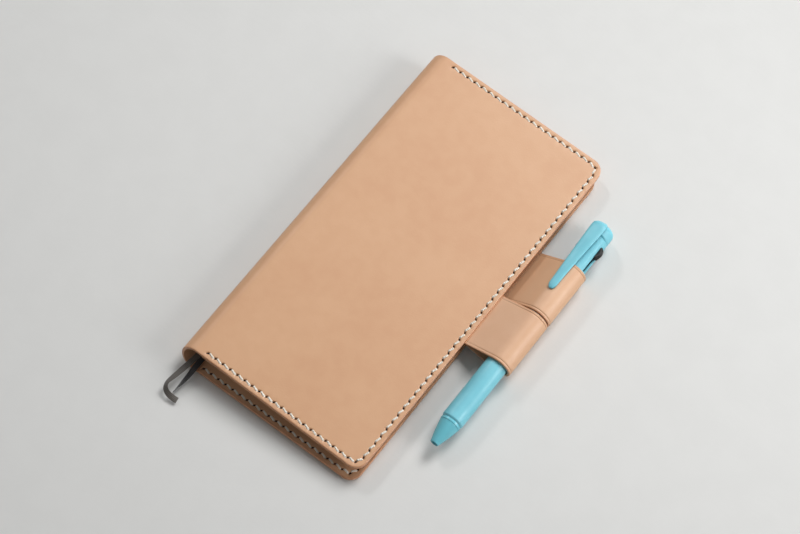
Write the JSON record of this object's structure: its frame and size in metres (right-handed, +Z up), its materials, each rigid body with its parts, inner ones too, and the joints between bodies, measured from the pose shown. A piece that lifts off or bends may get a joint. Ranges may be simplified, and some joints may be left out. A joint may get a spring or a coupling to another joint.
{
  "type": "leather notebook cover with pen",
  "caption": "Slim saddle-stitched leather notebook cover with ribbon bookmarks, locked shut by a multicolour slider pen through its two interlocking pen loops.",
  "frame": {"origin": "centre of the back cover's outer face, on the surface the closed cover lies on", "axes": "+X from the spine to the fore-edge and pen, +Y from the bookmark tails to the top, +Z up out of the front cover"},
  "size_m": [0.1314, 0.2206, 0.0174],
  "materials": {
    "leather": "natural vegetable-tanned, smooth grain, waxed edges",
    "lining": "natural vegetable-tanned, smooth",
    "thread": "waxed linen",
    "card": "smooth cover card",
    "paper": "uncoated",
    "tape": "woven book tape",
    "ribbon_dark": "satin ribbon",
    "ribbon_grey": "satin ribbon",
    "pen_body": "satin moulded",
    "pen_gloss": "polished moulded",
    "guide": "moulded",
    "ring": "polished moulded",
    "ink_tube": "translucent tube",
    "point": "turned",
    "black_slider": "moulded",
    "red_slider": "moulded",
    "blue_slider": "moulded"
  },
  "bodies": {
    "back_cover": {"back_cover_leather": "leather", "back_pocket_leather": "lining", "back_stitching": "thread", "back_pen_loop": "leather", "spine_leather": "leather", "notebook_back_card": "card", "page_block": "paper", "notebook_spine_tape": "tape", "bookmark_dark": "ribbon_dark", "bookmark_grey": "ribbon_grey"},
    "front_cover": {"front_cover_leather": "leather", "front_pocket_leather": "lining", "front_stitching": "thread", "front_pen_loop": "leather"},
    "notebook_front": {"notebook_front_card": "card"},
    "pen": {"pen_nose_cone": "pen_gloss", "pen_grip_barrel": "pen_body", "pen_centre_ring": "ring", "pen_rear_barrel": "pen_body", "pen_top_cap": "pen_gloss", "refill_guide": "guide"},
    "pen_clip": {"pen_clip": "pen_gloss"},
    "black_refill": {"slider_black": "black_slider", "refill_tube_black": "ink_tube", "refill_tip_black": "point"},
    "red_refill": {"slider_red": "red_slider", "refill_tube_red": "ink_tube", "refill_tip_red": "point"},
    "blue_refill": {"slider_blue": "blue_slider", "refill_tube_blue": "ink_tube", "refill_tip_blue": "point"}
  },
  "joints": [
    {"name": "cover_open", "type": "hinge", "parent": "back_cover", "child": "front_cover", "pos_m": [-0.0523, 0, 0.0075], "axis": [0, -1, 0], "range_deg": [0, 179.5], "deforming": ["spine_leather", "front_pen_loop"]},
    {"name": "notebook_cover_turn", "type": "hinge", "parent": "back_cover", "child": "notebook_front", "pos_m": [-0.0444, 0, 0.0063], "axis": [0, -1, 0], "range_deg": [0, 177.81]},
    {"name": "pen_draw", "type": "slide", "parent": "back_cover", "child": "pen", "axis": [0, 1, 0], "range_m": [0, 0.118]},
    {"name": "clip_flex", "type": "hinge", "parent": "pen", "child": "pen_clip", "pos_m": [0.06964, 0.0735, 0.01475], "axis": [-0.9744, 0, -0.225], "range_deg": [0, 5], "stiffness_Nm_per_rad": 0.02},
    {"name": "black_slider_push", "type": "slide", "parent": "pen", "child": "black_refill", "axis": [0, -1, 0], "range_m": [0, 0.0088], "stiffness_N_per_m": 20},
    {"name": "red_slider_push", "type": "slide", "parent": "pen", "child": "red_refill", "axis": [0, -1, 0], "range_m": [0, 0.0088], "stiffness_N_per_m": 20},
    {"name": "blue_slider_push", "type": "slide", "parent": "pen", "child": "blue_refill", "axis": [0, -1, 0], "range_m": [0, 0.0088], "stiffness_N_per_m": 20}
  ],
  "couplings": [
    {"joint": "notebook_cover_turn", "follows": "cover_open", "ratio": 0.99}
  ]
}
